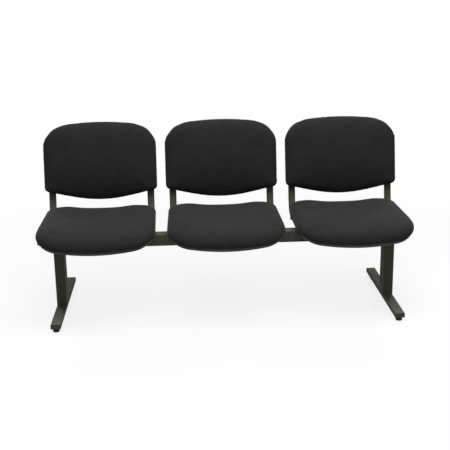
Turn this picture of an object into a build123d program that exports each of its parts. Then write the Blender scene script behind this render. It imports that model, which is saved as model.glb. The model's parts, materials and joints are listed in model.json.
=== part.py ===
from build123d import *
import os
from math import asin, atan, cos, pi, radians, sin, sqrt, tan

os.makedirs("parts", exist_ok=True)

# Three-seat beam bench in millimetres: it faces -Y, and left and right are as seen from the front

# Row
seat_names = ("left", "middle", "right")
leg_names = ("left", "right")
seat_gap = 36.0
leg_inset = 47.0
beam_y = -29.8

# Levelling feet
glide_height = 15.0
glide_radius = 13.5
glide_edge = 2.0
glide_base = 7.0
collar_radius = 9.5
stud_radius = 4.0
stud_seat = 9.0
stud_head_room = 1.5
nut_thickness = 7.0
nut_radius = 7.5

# Foot bars
foot_width = 40.0
foot_height = 20.0
foot_wall = 2.0
foot_corner = 3.5
foot_front_reach = 255.0
foot_rear_reach = 311.0
front_glide_inset = 17.0
rear_glide_inset = 60.0
cap_flange = 2.5
cap_edge = 1.2
foot_cap_plug = 6.0

# Columns and the cradles on them that hold the beam
column_width = 40.0
column_depth = 80.0
column_wall = 2.0
column_corner = 5.0
column_height = 234.0
cradle_base = 5.0
cradle_cheek = 4.0
cradle_height = 26.0
cradle_corner = 8.0
leg_bolt_height = 14.0

# Beam
beam_size = 50.0
beam_wall = 2.5
beam_corner = 5.0
beam_overhang = 15.0
beam_cap_plug = 15.0

# Saddle brackets over the beam
saddle_thickness = 3.0
saddle_skirt = 18.0
saddle_end = 5.0
saddle_bolt_spacing = 180.0

# Bent side tubes
tube_width = 30.0
tube_height = 15.0
tube_wall = 1.5
tube_inset = 14.0
tube_bend = 70.0
tube_front_reach = 146.0
upright_setback = 220.0
upright_length = 330.0
back_lean = 11.0
tube_plug = 10.0
plug_flange = 2.0

# Seat spacers on the side tubes
spacer_length = 22.0
spacer_cheek = 4.0
spacer_drop = 4.5
spacer_rise = 12.0
spacer_end = 4.0
spacer_bend_gap = 24.0

# Seat board and under-shell
board_thickness = 10.0
shell_thickness = 2.5
shell_edge = 4.0
seat_board_width = 452.0
seat_taper = 14.0
seat_front_reach = 241.0
seat_rear_reach = 203.0
seat_front_crown = 38.0
seat_front_corner = 95.0
seat_rear_corner = 42.0
seat_fall_start = 63.0
seat_front_drop = 44.0

# Seat cushion
cushion_side_lap = 11.0
cushion_end_lap = 9.0
cushion_front_crown = 32.0
cushion_front_corner = 98.0
cushion_rear_corner = 58.0
cushion_lift = 24.0
cushion_dish = 8.0
cushion_girth = 9.0
cushion_roll = 26.0
cushion_tuck = 9.0
cushion_sink = 2.0
cushion_fall = 23.0
cushion_nose_roll = 27.0

# Back board and rear shell
back_flare = 14.0
back_taper = 10.0
back_board_low = 90.0
back_board_high = 408.0
back_smile = 39.0
back_crown = 25.0
back_low_corner = 16.0
back_top_corner = 76.0
back_hollow = 14.0
shell_hollow = 7.0
shell_clearance = 1.0
bolt_sink = 0.8

# Back cushion
back_cushion_side_lap = 9.0
back_cushion_end_lap = 8.0
back_cushion_corner_width = 108.0
back_cushion_corner_height = 80.0
back_cushion_low_corner = 18.0
back_cushion_lift = 22.0
back_cushion_belly = 20.0
back_cushion_peak = 0.57
back_cushion_girth = 7.0
back_cushion_roll = 26.0
back_bolt_end = 30.0
back_bolt_spacing = 135.0

# Fasteners
m8_radius = 4.0
m8_head_radius = 7.5
m8_head = 5.3
m8_nut = 6.5
m8_tail = 3.0
m6_radius = 3.0
m6_head_radius = 6.0
m6_head = 3.2
tee_flange_radius = 7.5
tee_flange = 1.2
tee_barrel_radius = 4.2
tee_barrel = 5.0
tee_recess = 1.6

# Clearances
thread_clearance = 0.08
hole_clearance = 0.3
fit_clearance = 0.3
board_clearance = 0.5
pad_clearance = 0.3

# Widths and reaches that follow from the seat
seat_board_rear_width = seat_board_width - seat_taper
cushion_width = seat_board_width + 2 * cushion_side_lap
cushion_front_reach = seat_front_reach + cushion_end_lap
cushion_rear_reach = seat_rear_reach + cushion_end_lap
back_board_width = seat_board_width + back_flare
back_board_top_width = back_board_width - back_taper
back_cushion_width = back_board_width + 2 * back_cushion_side_lap
back_cushion_low = back_board_low - back_cushion_end_lap
back_cushion_high = back_board_high + back_cushion_end_lap
back_bolt_high = upright_length - back_bolt_end
back_bolt_low = back_bolt_high - back_bolt_spacing
tube_offset = seat_board_width / 2 - tube_inset
saddle_length = 2 * (tube_offset + saddle_end)
bend_reach = tube_bend * tan(radians(90 - back_lean) / 2)
front_spacer_reach = tube_front_reach - spacer_end - spacer_length / 2
rear_spacer_reach = upright_setback - bend_reach - spacer_bend_gap - spacer_length / 2
seat_pitch = back_cushion_width + seat_gap
leg_spacing = (len(seat_names) - 1) * seat_pitch + 2 * (tube_offset - leg_inset)

# Heights and places that follow from the sizes
foot_bottom = glide_height
foot_top = foot_bottom + foot_height
column_top = foot_top + column_height
beam_bottom = column_top + cradle_base
beam_top = beam_bottom + beam_size
beam_length = leg_spacing + column_width + 2 * beam_overhang
tube_bottom = beam_top + saddle_thickness
tube_z = tube_bottom + tube_height / 2
tube_top = tube_bottom + tube_height
pan_depth = board_thickness + shell_thickness
seat_z = tube_top + spacer_rise + pan_depth
fall_y = beam_y - seat_fall_start
fall_reach = seat_front_reach - seat_fall_start
cushion_fall_reach = cushion_front_reach - seat_fall_start
fall_radius = (fall_reach**2 + seat_front_drop**2) / (2 * seat_front_drop)
cradle_gap = beam_size / 2 + fit_clearance
upright_y = beam_y + upright_setback
lean = radians(back_lean)
leg_centres = (-leg_spacing / 2, leg_spacing / 2)
seat_centres = [seat_pitch * (i - (len(seat_names) - 1) / 2) for i in range(len(seat_names))]
tube_sides = {"left": -1, "right": 1}
loft_turns = range(-84, 85, 14)
spacer_places = (beam_y + rear_spacer_reach, beam_y - front_spacer_reach)
glide_places = {
    "front": beam_y - foot_front_reach + front_glide_inset,
    "rear": beam_y + foot_rear_reach - rear_glide_inset,
}


def save(piece, node):
    piece.part.label = node
    export_step(piece.part, f"parts/{node}.step")


# A point beside the seat: how far along the board's top from where it starts to fall, and how far above it
def on_seat(run, lift):
    if run <= 0:
        return (fall_y - run, seat_z + lift)
    turn = run / fall_radius
    reach = fall_radius + lift
    return (fall_y - reach * sin(turn), seat_z - fall_radius + reach * cos(turn))


# How far along the board's top a place on the plan lies
def run_at(y):
    ahead = fall_y - y
    if ahead <= 0:
        return ahead
    return fall_radius * asin(ahead / fall_radius)


# Height of the board's top at a place on the plan
def seat_top(y):
    ahead = max(0.0, fall_y - y)
    return seat_z - fall_radius + sqrt(fall_radius**2 - ahead**2)


# Height of the seat cushion's top at a place on the plan, which falls less than the board does
def cushion_top(y, lift):
    ahead = max(0.0, fall_y - y) / cushion_fall_reach
    return seat_z + lift - cushion_fall * ahead**2


# A point beside the upright: how far up along it from the tube's corner, and how far in front of it
def on_back(rise, ahead):
    return (
        upright_y + rise * sin(lean) - ahead * cos(lean),
        tube_z + rise * cos(lean) + ahead * sin(lean),
    )


# The back's own plane, through the uprights' centre lines and facing the sitter
def back_plane(centre):
    return Plane(origin=(centre, upright_y, tube_z), x_dir=(1, 0, 0), z_dir=(0, -cos(lean), sin(lean)))


# A plane square to the uprights at a height along them, with its own Y to the rear
def across_plane(centre, rise):
    y, z = on_back(rise, 0)
    return Plane(origin=(centre, y, z), x_dir=(1, 0, 0), z_dir=(0, sin(lean), cos(lean)))


# Plane across the bench through a point, with its own Y upwards and facing the front
def front_plane(x, y, z):
    return Plane(origin=(x, y, z), x_dir=(1, 0, 0), z_dir=(0, -1, 0))


# Closed strip between two heights above the seat board's top, along the flat and round the falling front
def seat_band(low, high):
    rear = -(seat_fall_start + cushion_rear_reach)
    front = run_at(beam_y - cushion_front_reach - pan_depth)
    with BuildLine() as outline:
        Line(on_seat(rear, low), on_seat(0, low))
        ThreePointArc(on_seat(0, low), on_seat(front / 2, low), on_seat(front, low))
        Line(on_seat(front, low), on_seat(front, high))
        ThreePointArc(on_seat(front, high), on_seat(front / 2, high), on_seat(0, high))
        Line(on_seat(0, high), on_seat(rear, high))
        Line(on_seat(rear, high), on_seat(rear, low))
    make_face(outline.edges())


# Plan of the seat board, or of what is larger all round: crowned front, tapering sides, round corners
def seat_plan(grow):
    wide = seat_board_width / 2 + grow
    narrow = seat_board_rear_width / 2 + grow
    front = -(seat_front_reach + grow)
    rear = seat_rear_reach + grow
    shoulder = front + seat_front_crown
    with BuildLine() as outline:
        ThreePointArc((wide, shoulder), (0, front), (-wide, shoulder))
        Polyline((-wide, shoulder), (-narrow, rear), (narrow, rear), (wide, shoulder))
    make_face(outline.edges())
    fillet(vertices().sort_by(Axis.Y)[:2], radius=seat_front_corner + grow)
    fillet(vertices().sort_by(Axis.Y)[-2:], radius=seat_rear_corner + grow)


# Outline of the back board, or of what is larger all round: crowned top, smiling bottom, round corners
def back_outline(grow):
    wide = back_board_width / 2 + grow
    narrow = back_board_top_width / 2 + grow
    low = back_board_low - grow
    high = back_board_high + grow
    with BuildLine() as outline:
        ThreePointArc((-wide, low + back_smile), (0, low), (wide, low + back_smile))
        Line((wide, low + back_smile), (narrow, high - back_crown))
        ThreePointArc((narrow, high - back_crown), (0, high), (-narrow, high - back_crown))
        Line((-narrow, high - back_crown), (-wide, low + back_smile))
    make_face(outline.edges())
    fillet(vertices().sort_by(Axis.Y)[:2], radius=back_low_corner + grow)
    fillet(vertices().sort_by(Axis.Y)[-2:], radius=back_top_corner + grow)


# Strip across the back between two arcs, each given at the middle and by how far its ends come forward
def back_band(rear, rear_hollow, front, front_hollow):
    half = back_cushion_width / 2
    with BuildLine() as outline:
        ThreePointArc((-half, -rear - rear_hollow), (0, -rear), (half, -rear - rear_hollow))
        Line((half, -rear - rear_hollow), (half, -front - front_hollow))
        ThreePointArc((half, -front - front_hollow), (0, -front), (-half, -front - front_hollow))
        Line((-half, -front - front_hollow), (-half, -rear - rear_hollow))
    make_face(outline.edges())


# How far the back's hollow brings a place forward of its middle
def hollow_at(x, depth):
    half = back_cushion_width / 2
    radius = (half**2 + depth**2) / (2 * depth)
    return radius - sqrt(radius**2 - x**2)


# Share of a quarter round that is left at a place near an edge
def round_off(x, edge, width):
    share = min(1.0, max(0.0, (abs(x) - (edge - width)) / width))
    return sqrt(1 - share**2)


# Moulded plug: a flange on the tube's end and a body that fits inside
def tube_plug_at(plane, inward, flange, body):
    inner = 2 * (tube_wall + fit_clearance)
    with BuildSketch(plane) as rim:
        SlotOverall(tube_width, tube_height)
    extrude(rim.sketch, amount=-inward * flange)
    with BuildSketch(plane) as core:
        SlotOverall(tube_width - inner, tube_height - inner)
    extrude(core.sketch, amount=inward * body)


# Places of the board and the rear shell in front of the uprights' centre lines, at the back's middle
inner_edge = tube_offset - tube_width / 2
outer_edge = tube_offset + tube_width / 2
back_board_rear = tube_height / 2 + fit_clearance - hollow_at(inner_edge, back_hollow)
back_board_front = back_board_rear + board_thickness
rear_shell_inner = -(tube_height / 2 + shell_clearance) - hollow_at(outer_edge, shell_hollow)
rear_shell_outer = rear_shell_inner - shell_thickness
back_span = back_cushion_high - back_cushion_low
back_start = back_cushion_low - cushion_sink
bolt_face = rear_shell_outer + hollow_at(tube_offset + m6_head_radius, shell_hollow) + bolt_sink
tee_face = back_board_front + hollow_at(tube_offset - tee_flange_radius, back_hollow) - tee_recess

# Beam with the holes of its brackets and legs
saddle_bolt_points = [
    (centre + side * saddle_bolt_spacing / 2, beam_y) for centre in seat_centres for side in (-1, 1)
]
leg_bolt_points = [(centre, beam_bottom + leg_bolt_height) for centre in leg_centres]
with BuildPart() as beam:
    beam_middle = (-beam_length / 2, beam_y, beam_bottom + beam_size / 2)
    with BuildSketch(Plane(origin=beam_middle, x_dir=(0, 1, 0), z_dir=(1, 0, 0))):
        inside = beam_size - 2 * beam_wall
        RectangleRounded(beam_size, beam_size, beam_corner)
        RectangleRounded(inside, inside, beam_corner - beam_wall, mode=Mode.SUBTRACT)
    extrude(amount=beam_length)
    with BuildSketch(Plane.XY.offset(beam_bottom)):
        with Locations(*saddle_bolt_points):
            Circle(m8_radius + hole_clearance)
    extrude(amount=beam_size, mode=Mode.SUBTRACT)
    with BuildSketch(front_plane(0, beam_y + beam_size / 2, 0)):
        with Locations(*leg_bolt_points):
            Circle(m8_radius + hole_clearance)
    extrude(amount=beam_size, mode=Mode.SUBTRACT)
save(beam, "beam")

# Beam end caps
with BuildPart() as beam_end_caps:
    for side in (-1, 1):
        end = Plane(
            origin=(side * beam_length / 2, beam_y, beam_bottom + beam_size / 2),
            x_dir=(0, side, 0),
            z_dir=(side, 0, 0),
        )
        with BuildSketch(end):
            RectangleRounded(beam_size, beam_size, beam_corner)
        extrude(amount=cap_flange)
        with BuildSketch(end):
            body = beam_size - 2 * (beam_wall + fit_clearance)
            RectangleRounded(body, body, beam_corner - beam_wall)
        extrude(amount=-beam_cap_plug)
    fillet(faces().sort_by(Axis.X)[0].edges() + faces().sort_by(Axis.X)[-1].edges(), radius=cap_edge)
save(beam_end_caps, "beam_end_caps")

# Legs: a column on a foot bar, with its beam cradle, end caps, weld nuts and levelling feet
for leg, centre in zip(leg_names, leg_centres):
    with BuildPart() as column:
        with BuildSketch(Plane((centre, beam_y, foot_top))):
            RectangleRounded(column_width, column_depth, column_corner)
            RectangleRounded(
                column_width - 2 * column_wall,
                column_depth - 2 * column_wall,
                column_corner - column_wall,
                mode=Mode.SUBTRACT,
            )
        extrude(amount=column_height)
    save(column, f"{leg}_column")

    with BuildPart() as cradle:
        with BuildSketch(Plane((centre, beam_y, column_top))):
            RectangleRounded(column_width, column_depth, column_corner)
        extrude(amount=cradle_base)
        for y in (beam_y - cradle_gap, beam_y + cradle_gap + cradle_cheek):
            with BuildSketch(front_plane(centre, y, beam_bottom)):
                with Locations((0, cradle_height / 2)):
                    Rectangle(column_width, cradle_height)
                fillet(vertices().group_by(Axis.Y)[-1], radius=cradle_corner)
                with Locations((0, leg_bolt_height)):
                    Circle(m8_radius + hole_clearance, mode=Mode.SUBTRACT)
            extrude(amount=cradle_cheek)
    save(cradle, f"{leg}_beam_cradle")

    foot_front = beam_y - foot_front_reach + cap_flange
    foot_rear = beam_y + foot_rear_reach - cap_flange
    foot_z = foot_bottom + foot_height / 2
    glide_points = [(centre, y) for y in glide_places.values()]
    with BuildPart() as foot_bar:
        with BuildSketch(front_plane(centre, foot_rear, foot_z)):
            RectangleRounded(foot_width, foot_height, foot_corner)
            RectangleRounded(
                foot_width - 2 * foot_wall,
                foot_height - 2 * foot_wall,
                foot_corner - foot_wall,
                mode=Mode.SUBTRACT,
            )
        extrude(amount=foot_rear - foot_front)
        with BuildSketch(Plane.XY.offset(foot_bottom)):
            with Locations(*glide_points):
                Circle(stud_radius + hole_clearance)
        extrude(amount=foot_wall, mode=Mode.SUBTRACT)
    save(foot_bar, f"{leg}_foot_bar")

    with BuildPart() as foot_caps:
        for y, outward in ((foot_front, 1), (foot_rear, -1)):
            with BuildSketch(front_plane(centre, y, foot_z)):
                RectangleRounded(foot_width, foot_height, foot_corner)
            extrude(amount=outward * cap_flange)
            with BuildSketch(front_plane(centre, y, foot_z)):
                RectangleRounded(
                    foot_width - 2 * (foot_wall + fit_clearance),
                    foot_height - 2 * (foot_wall + fit_clearance),
                    foot_corner - foot_wall,
                )
            extrude(amount=-outward * foot_cap_plug)
        fillet(
            faces().sort_by(Axis.Y)[0].edges() + faces().sort_by(Axis.Y)[-1].edges(), radius=cap_edge
        )
    save(foot_caps, f"{leg}_foot_end_caps")

    with BuildPart() as weld_nuts:
        with BuildSketch(Plane.XY.offset(foot_bottom + foot_wall)):
            with Locations(*glide_points):
                RegularPolygon(nut_radius, 6)
                Circle(stud_radius + thread_clearance, mode=Mode.SUBTRACT)
        extrude(amount=nut_thickness)
    save(weld_nuts, f"{leg}_weld_nuts")

    for end, y in glide_places.items():
        with BuildPart() as glide:
            with BuildSketch(front_plane(centre, y, 0)):
                with BuildLine():
                    Polyline(
                        (0, 0),
                        (glide_radius - glide_edge, 0),
                        (glide_radius, glide_edge),
                        (glide_radius, glide_base),
                        (collar_radius, glide_base + glide_edge),
                        (collar_radius, glide_height),
                        (0, glide_height),
                        close=True,
                    )
                make_face()
            revolve(axis=Axis((centre, y, 0), (0, 0, 1)))
            with BuildSketch(Plane((centre, y, glide_height))):
                Circle(stud_radius + thread_clearance)
            extrude(amount=-stud_seat, mode=Mode.SUBTRACT)
        save(glide, f"{end}_{leg}_glide")

        with BuildPart() as stud:
            with BuildSketch(Plane((centre, y, glide_height - stud_seat))):
                Circle(stud_radius)
            extrude(amount=stud_seat + foot_height - foot_wall - stud_head_room)
        save(stud, f"{end}_{leg}_levelling_stud")

# Bolts through the cradles and the beam from the front, with their nuts behind
cradle_front = beam_y - cradle_gap - cradle_cheek
cradle_rear = beam_y + cradle_gap + cradle_cheek
with BuildPart() as leg_bolts:
    with BuildSketch(front_plane(0, cradle_front, 0)):
        with Locations(*leg_bolt_points):
            RegularPolygon(m8_head_radius, 6)
    extrude(amount=m8_head)
    with BuildSketch(front_plane(0, cradle_front, 0)):
        with Locations(*leg_bolt_points):
            Circle(m8_radius)
    extrude(amount=-(cradle_rear - cradle_front + m8_nut + m8_tail))
save(leg_bolts, "leg_bolts")

with BuildPart() as leg_nuts:
    with BuildSketch(front_plane(0, cradle_rear, 0)):
        with Locations(*leg_bolt_points):
            RegularPolygon(m8_head_radius, 6)
            Circle(m8_radius + thread_clearance, mode=Mode.SUBTRACT)
    extrude(amount=-m8_nut)
save(leg_nuts, "leg_nuts")

# Bolts down through the saddle brackets and the beam, with their nuts below
with BuildPart() as saddle_bolts:
    with BuildSketch(Plane.XY.offset(tube_bottom)):
        with Locations(*saddle_bolt_points):
            RegularPolygon(m8_head_radius, 6)
    extrude(amount=m8_head)
    with BuildSketch(Plane.XY.offset(tube_bottom)):
        with Locations(*saddle_bolt_points):
            Circle(m8_radius)
    extrude(amount=-(saddle_thickness + beam_size + m8_nut + m8_tail))
save(saddle_bolts, "saddle_bolts")

with BuildPart() as saddle_nuts:
    with BuildSketch(Plane.XY.offset(beam_bottom)):
        with Locations(*saddle_bolt_points):
            RegularPolygon(m8_head_radius, 6)
            Circle(m8_radius + thread_clearance, mode=Mode.SUBTRACT)
    extrude(amount=-m8_nut)
save(saddle_nuts, "saddle_nuts")

# Seat bolts up through the side tubes, and the tee nuts let into the boards
seat_bolt_points = {
    y: [(centre + side * tube_offset, y) for centre in seat_centres for side in (-1, 1)]
    for y in spacer_places
}
tee_floors = {y: seat_top(y - tee_flange_radius) - tee_recess for y in spacer_places}
with BuildPart() as seat_bolts:
    for y, points in seat_bolt_points.items():
        with BuildSketch(Plane.XY.offset(tube_bottom)):
            with Locations(*points):
                Circle(m6_head_radius)
        extrude(amount=-m6_head)
        with BuildSketch(Plane.XY.offset(tube_bottom)):
            with Locations(*points):
                Circle(m6_radius)
        extrude(amount=tee_floors[y] - tube_bottom)
save(seat_bolts, "seat_bolts")

with BuildPart() as seat_tee_nuts:
    for y, points in seat_bolt_points.items():
        with BuildSketch(Plane.XY.offset(tee_floors[y])):
            with Locations(*points):
                Circle(tee_flange_radius)
        extrude(amount=tee_flange)
        with BuildSketch(Plane.XY.offset(tee_floors[y])):
            with Locations(*points):
                Circle(tee_barrel_radius)
        extrude(amount=-tee_barrel)
        with BuildSketch(Plane.XY.offset(tee_floors[y] + tee_flange)):
            with Locations(*points):
                Circle(m6_radius + thread_clearance)
        extrude(amount=-(tee_flange + tee_barrel), mode=Mode.SUBTRACT)
save(seat_tee_nuts, "seat_tee_nuts")

# Moulded saddles between the side tubes and the seat shells
with BuildPart() as seat_spacers:
    for centre in seat_centres:
        for side in (-1, 1):
            for y in spacer_places:
                x = centre + side * tube_offset
                tall = spacer_drop + tube_height / 2 + spacer_rise + board_thickness
                with BuildSketch(front_plane(x, y + spacer_length / 2, tube_z)):
                    with Locations((0, tall / 2 - spacer_drop)):
                        Rectangle(tube_width + 2 * spacer_cheek, tall)
                    with Locations((0, -fit_clearance)):
                        wider = 2 * fit_clearance
                        SlotOverall(tube_width + wider, tube_height + wider, mode=Mode.SUBTRACT)
                extrude(amount=spacer_length)
        with BuildSketch(Plane.YZ.offset(centre - seat_pitch / 2)):
            seat_band(-pan_depth - pad_clearance, seat_front_drop)
        extrude(amount=seat_pitch, mode=Mode.SUBTRACT)
    for points in seat_bolt_points.values():
        with BuildSketch(Plane.XY.offset(tube_bottom)):
            with Locations(*points):
                Circle(m6_radius + hole_clearance)
        extrude(amount=seat_z - tube_bottom, mode=Mode.SUBTRACT)
save(seat_spacers, "seat_spacers")

# Back bolts from behind the rear shells, and the tee nuts let into the back boards
back_bolt_points = [
    (side * tube_offset, rise) for side in (-1, 1) for rise in (back_bolt_low, back_bolt_high)
]
with BuildPart() as back_bolts:
    for centre in seat_centres:
        with BuildSketch(back_plane(centre).offset(bolt_face)):
            with Locations(*back_bolt_points):
                Circle(m6_head_radius)
        extrude(amount=-m6_head)
        with BuildSketch(back_plane(centre).offset(bolt_face)):
            with Locations(*back_bolt_points):
                Circle(m6_radius)
        extrude(amount=tee_face - bolt_face)
save(back_bolts, "back_bolts")

with BuildPart() as back_tee_nuts:
    for centre in seat_centres:
        with BuildSketch(back_plane(centre).offset(tee_face)):
            with Locations(*back_bolt_points):
                Circle(tee_flange_radius)
        extrude(amount=tee_flange)
        with BuildSketch(back_plane(centre).offset(tee_face)):
            with Locations(*back_bolt_points):
                Circle(tee_barrel_radius)
        extrude(amount=-tee_barrel)
        with BuildSketch(back_plane(centre).offset(tee_face + tee_flange)):
            with Locations(*back_bolt_points):
                Circle(m6_radius + thread_clearance)
        extrude(amount=-(tee_flange + tee_barrel), mode=Mode.SUBTRACT)
save(back_tee_nuts, "back_tee_nuts")

# Plugs in the front and top ends of the side tubes
tube_front = beam_y - tube_front_reach
with BuildPart() as tube_plugs:
    for centre in seat_centres:
        for side in (-1, 1):
            x = centre + side * tube_offset
            tube_plug_at(front_plane(x, tube_front, tube_z), -1, plug_flange, tube_plug)
            tube_plug_at(across_plane(x, upright_length), -1, plug_flange, tube_plug)
save(tube_plugs, "tube_plugs")

# Seats, each with its bracket, side tubes, shells, boards and cushions
for seat, centre in zip(seat_names, seat_centres):
    # Pressed saddle bracket: a channel turned over the beam, with rounded bends
    with BuildPart() as saddle:
        with BuildSketch(Plane.YZ.offset(centre - saddle_length / 2)):
            inside = beam_size + 2 * fit_clearance
            outside = inside + 2 * saddle_thickness
            with Locations((beam_y, tube_bottom - saddle_skirt / 2)):
                Rectangle(outside, saddle_skirt)
            with Locations((beam_y, beam_top - saddle_skirt / 2)):
                Rectangle(inside, saddle_skirt, mode=Mode.SUBTRACT)
            fillet(vertices().group_by(Axis.Y)[-1], radius=saddle_thickness)
        extrude(amount=saddle_length)
        with BuildSketch(Plane((centre, beam_y, beam_top))):
            with GridLocations(saddle_bolt_spacing, 0, 2, 1):
                Circle(m8_radius + hole_clearance)
        extrude(amount=saddle_thickness, mode=Mode.SUBTRACT)
    save(saddle, f"{seat}_saddle_bracket")

    # Side tubes: flat oval tube along under the seat, bent up into the back
    for hand, side in tube_sides.items():
        x = centre + side * tube_offset
        with BuildPart() as side_tube:
            with BuildLine(Plane.YZ.offset(x)):
                FilletPolyline(
                    (tube_front, tube_z), (upright_y, tube_z), on_back(upright_length, 0), radius=tube_bend
                )
            with BuildSketch(Plane(origin=(x, tube_front, tube_z), x_dir=(1, 0, 0), z_dir=(0, 1, 0))):
                SlotOverall(tube_width, tube_height)
                SlotOverall(tube_width - 2 * tube_wall, tube_height - 2 * tube_wall, mode=Mode.SUBTRACT)
            sweep()
            with BuildSketch(Plane.XY.offset(tube_bottom)):
                with Locations(*[(x, y) for y in spacer_places]):
                    Circle(m6_radius + hole_clearance)
            extrude(amount=tube_height, mode=Mode.SUBTRACT)
            with BuildSketch(back_plane(x).offset(-tube_height / 2)):
                with Locations((0, back_bolt_low), (0, back_bolt_high)):
                    Circle(m6_radius + hole_clearance)
            extrude(amount=tube_height, mode=Mode.SUBTRACT)
        save(side_tube, f"{seat}_seat_{hand}_side_tube")

    # Seat board: plywood with a falling front, drilled and let in for the tee nuts
    with BuildPart() as seat_board:
        with BuildSketch(Plane.YZ.offset(centre - seat_pitch / 2)):
            seat_band(-board_thickness, 0)
        extrude(amount=seat_pitch)
        with BuildSketch(Plane((centre, beam_y, 0))):
            seat_plan(0)
        extrude(amount=2 * seat_z, mode=Mode.INTERSECT)
        for y in spacer_places:
            points = [(centre + side * tube_offset, y) for side in (-1, 1)]
            with BuildSketch(Plane.XY.offset(tee_floors[y])):
                with Locations(*points):
                    Circle(tee_flange_radius + hole_clearance)
            extrude(amount=cushion_lift, mode=Mode.SUBTRACT)
            with BuildSketch(Plane.XY.offset(tee_floors[y])):
                with Locations(*points):
                    Circle(tee_barrel_radius + hole_clearance)
            extrude(amount=-2 * board_thickness, mode=Mode.SUBTRACT)
    save(seat_board, f"{seat}_seat_board")

    # Under-shell: a moulded pan round the board, with its floor on the spacers
    with BuildPart() as pan_room:
        with BuildSketch(Plane.YZ.offset(centre - seat_pitch / 2)):
            seat_band(-board_thickness, cushion_lift)
        extrude(amount=seat_pitch)
        with BuildSketch(Plane((centre, beam_y, 0))):
            seat_plan(board_clearance)
        extrude(amount=2 * seat_z, mode=Mode.INTERSECT)
    with BuildPart() as seat_shell:
        with BuildSketch(Plane.YZ.offset(centre - seat_pitch / 2)):
            seat_band(-pan_depth, 0)
        extrude(amount=seat_pitch)
        with BuildSketch(Plane((centre, beam_y, 0))):
            seat_plan(board_clearance + shell_thickness)
        extrude(amount=2 * seat_z, mode=Mode.INTERSECT)
        under = faces().filter_by(lambda face: face.normal_at().Z < -0.5)
        fillet(under.edges().filter_by(lambda edge: abs(edge.center().Y - fall_y) > 1), radius=shell_edge)
        add(pan_room.part, mode=Mode.SUBTRACT)
        with BuildSketch(Plane.XY.offset(tube_bottom)):
            with Locations(*[(centre + side * tube_offset, y) for side in (-1, 1) for y in spacer_places]):
                Circle(m6_radius + hole_clearance)
        extrude(amount=seat_z - tube_bottom, mode=Mode.SUBTRACT)
    save(seat_shell, f"{seat}_seat_shell")

    # Seat cushion: lofted across through sections that close up towards the rolled, drawn-in sides
    half = cushion_width / 2
    with BuildPart() as seat_cushion:
        for turn in loft_turns:
            share = sin(radians(turn))
            x = share * half
            top_round = round_off(x, half, cushion_roll)
            low_round = round_off(x, half, cushion_tuck)
            full = cushion_lift + cushion_dish * share**2
            top = cushion_girth + (full - cushion_girth) * top_round
            low = cushion_girth - (cushion_girth + cushion_sink) * low_round
            front_turn = 1 - round_off(x, half, cushion_front_corner)
            front = cushion_front_reach - cushion_front_crown * share**2 - cushion_front_corner * front_turn
            rear = cushion_rear_reach - cushion_rear_corner * (1 - round_off(x, half, cushion_rear_corner))
            nose = run_at(beam_y - front)
            tail = run_at(beam_y + rear)
            roll = top - cushion_girth
            tuck = roll - sqrt(roll**2 - (cushion_girth - low) ** 2)
            bend = cushion_nose_roll * top_round
            crest = beam_y - front + bend
            shoulder = (fall_y + crest) / 2
            slope = atan(2 * cushion_fall * (fall_y - crest) / cushion_fall_reach**2)
            brow = (crest, cushion_top(crest, top))
            wall = (crest - bend, brow[1] - bend * tan(pi / 4 + slope / 2))
            with BuildSketch(Plane.YZ.offset(centre + x)):
                with BuildLine():
                    ThreePointArc(
                        on_seat(tail + tuck, low), on_seat(tail, cushion_girth), on_seat(tail + roll, top)
                    )
                    Line(on_seat(tail + roll, top), on_seat(0, top))
                    ThreePointArc(on_seat(0, top), (shoulder, cushion_top(shoulder, top)), brow)
                    TangentArc(brow, wall, tangent=(-cos(slope), -sin(slope)))
                    Line(wall, on_seat(nose - tuck, low))
                    ThreePointArc(
                        on_seat(nose - tuck, low), on_seat((nose - tuck) / 2, low), on_seat(0, low)
                    )
                    Line(on_seat(0, low), on_seat(tail + tuck, low))
                make_face()
        loft()
        with BuildSketch(Plane.YZ.offset(centre - seat_pitch / 2)):
            seat_band(-pan_depth, pad_clearance)
        extrude(amount=seat_pitch, mode=Mode.SUBTRACT)
    save(seat_cushion, f"{seat}_seat_cushion")

    # Back board: curved plywood, drilled and let in for the tee nuts
    with BuildPart() as back_board:
        with BuildSketch(across_plane(centre, back_start)):
            back_band(back_board_rear, back_hollow, back_board_front, back_hollow)
        extrude(amount=back_span + 2 * cushion_sink)
        with BuildSketch(back_plane(centre)):
            back_outline(0)
        extrude(amount=seat_pitch / 2, both=True, mode=Mode.INTERSECT)
        with BuildSketch(back_plane(centre).offset(tee_face)):
            with Locations(*back_bolt_points):
                Circle(tee_flange_radius + hole_clearance)
        extrude(amount=2 * board_thickness, mode=Mode.SUBTRACT)
        with BuildSketch(back_plane(centre).offset(tee_face)):
            with Locations(*back_bolt_points):
                Circle(tee_barrel_radius + hole_clearance)
        extrude(amount=-2 * board_thickness, mode=Mode.SUBTRACT)
    save(back_board, f"{seat}_back_board")

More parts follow.
